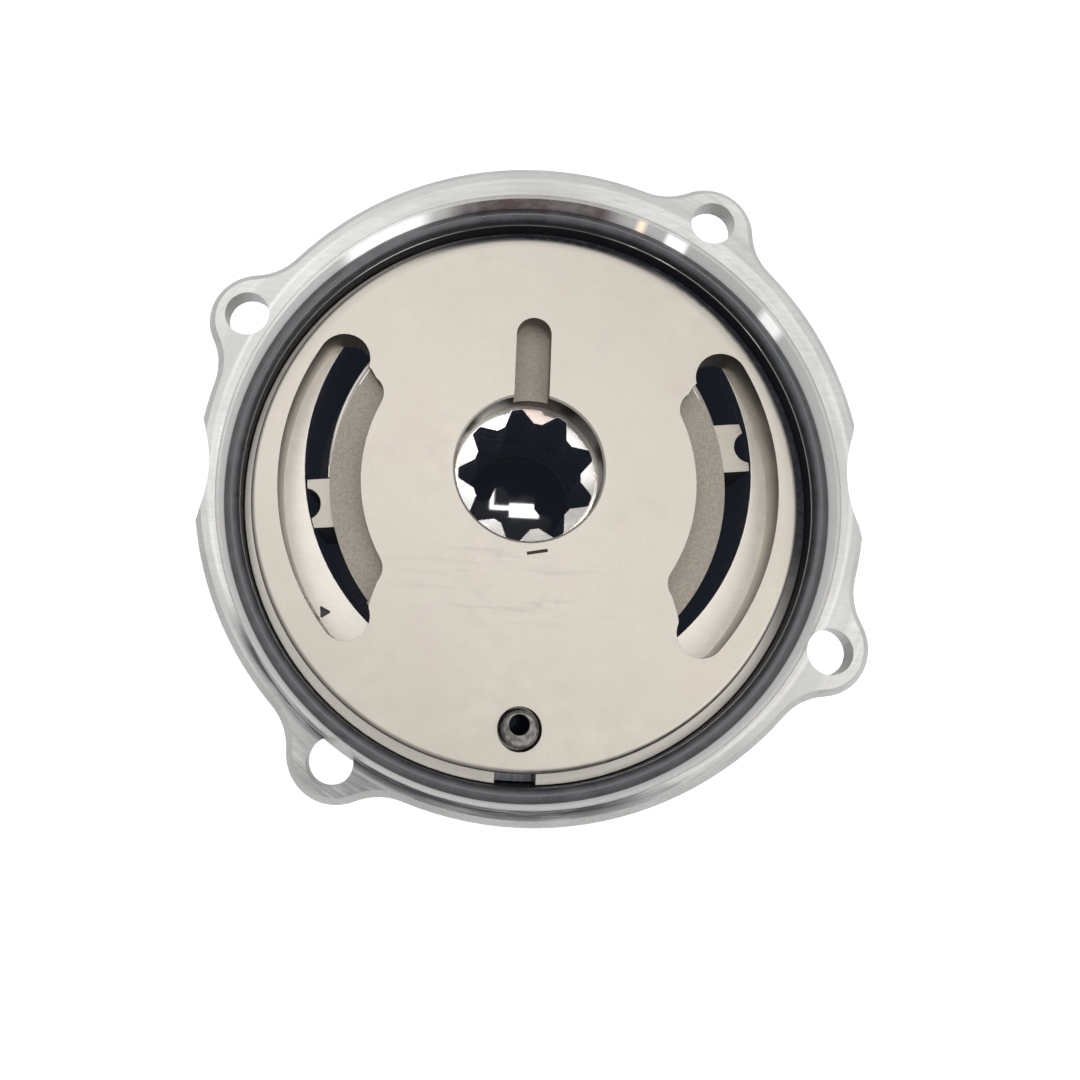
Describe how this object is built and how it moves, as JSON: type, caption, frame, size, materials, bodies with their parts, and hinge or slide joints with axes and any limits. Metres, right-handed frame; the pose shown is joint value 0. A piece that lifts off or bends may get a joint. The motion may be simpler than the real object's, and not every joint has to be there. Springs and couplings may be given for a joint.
{
  "type": "vane pump",
  "caption": "Flanged cartridge vane pump: round aluminium cup housing with bolt ears, port plate with kidney ports, eccentric cam ring, splined rotor with vanes, and a relief valve.",
  "frame": {"origin": "centre of the housing's spigot bore in the plane of the flange face", "axes": "+Z out of the open front along the bore, +Y from the sleeve pin towards the groove in the port plate, +X to the right as seen from the front"},
  "size_m": [0.0774, 0.0772, 0.038],
  "materials": {
    "housing_cast": "cast, machined on the face",
    "seal_rubber": "satin",
    "plate_steel": "fine ground",
    "cam_steel": "ground",
    "rotor_steel": "ground, oiled",
    "vane_steel": "fine ground",
    "pin_steel": "dark, oiled",
    "spring_steel": "satin",
    "bush_bronze": "satin",
    "plug_black": "glossy black"
  },
  "bodies": {
    "pump_body": {"pump_housing": "housing_cast", "face_o_ring": "seal_rubber", "front_port_plate": "plate_steel", "cam_ring": "cam_steel", "sleeve_pin": "pin_steel", "rear_locating_pin": "pin_steel", "rear_port_plate": "plate_steel", "outer_seal_ring": "seal_rubber", "inner_seal_ring": "seal_rubber", "disc_spring": "spring_steel", "pilot_bush": "bush_bronze", "end_plug": "plug_black", "relief_spring": "spring_steel", "relief_plug": "spring_steel"},
    "rotor_body": {"rotor": "rotor_steel"},
    "guide_front_body": {"guide_ring_front": "rotor_steel"},
    "guide_rear_body": {"guide_ring_rear": "rotor_steel"},
    "poppet_body": {"relief_poppet": "pin_steel"},
    "vane_1_body": {"vane_1": "vane_steel"},
    "vane_2_body": {"vane_2": "vane_steel"},
    "vane_3_body": {"vane_3": "vane_steel"},
    "vane_4_body": {"vane_4": "vane_steel"}
  },
  "joints": [
    {"name": "rotor_spin", "type": "hinge", "parent": "pump_body", "child": "rotor_body", "pos_m": [0, 0.0025, -0.0135], "axis": [0, 0, 1], "range_deg": [-45, 45]},
    {"name": "vane_1_slide", "type": "slide", "parent": "rotor_body", "child": "vane_1_body", "axis": [0.9942, 0.108, 0], "range_m": [-0.00099, 0.00099]},
    {"name": "vane_2_slide", "type": "slide", "parent": "rotor_body", "child": "vane_2_body", "axis": [-0.108, 0.9942, 0], "range_m": [-0.000287, 0.000287]},
    {"name": "vane_3_slide", "type": "slide", "parent": "rotor_body", "child": "vane_3_body", "axis": [-0.9942, -0.108, 0], "range_m": [-0.00103, 0.00103]},
    {"name": "vane_4_slide", "type": "slide", "parent": "rotor_body", "child": "vane_4_body", "axis": [0.108, -0.9942, 0], "range_m": [-0.0002125, 0.0002125]},
    {"name": "guide_ring_front_spin", "type": "hinge", "parent": "pump_body", "child": "guide_front_body", "pos_m": [0.0002, 0.0039, -0.0076], "axis": [0, 0, 1], "range_deg": [-45, 45]},
    {"name": "guide_ring_rear_spin", "type": "hinge", "parent": "pump_body", "child": "guide_rear_body", "pos_m": [0.0002, 0.0039, -0.0194], "axis": [0, 0, 1], "range_deg": [-45, 45]},
    {"name": "relief_poppet_slide", "type": "slide", "parent": "pump_body", "child": "poppet_body", "axis": [0, 0, -1], "range_m": [0, 0.0007], "stiffness_N_per_m": 1400, "springref_m": -0.002, "deforming": ["relief_spring"]}
  ],
  "couplings": [
    {"joint": "vane_1_slide", "follows": "rotor_spin", "m_per_rad": 0.00126},
    {"joint": "vane_2_slide", "follows": "rotor_spin", "m_per_rad": -0.000365},
    {"joint": "vane_3_slide", "follows": "rotor_spin", "m_per_rad": -0.001305},
    {"joint": "vane_4_slide", "follows": "rotor_spin", "m_per_rad": 0.00027},
    {"joint": "guide_ring_front_spin", "follows": "rotor_spin", "ratio": 1},
    {"joint": "guide_ring_rear_spin", "follows": "rotor_spin", "ratio": 1}
  ]
}
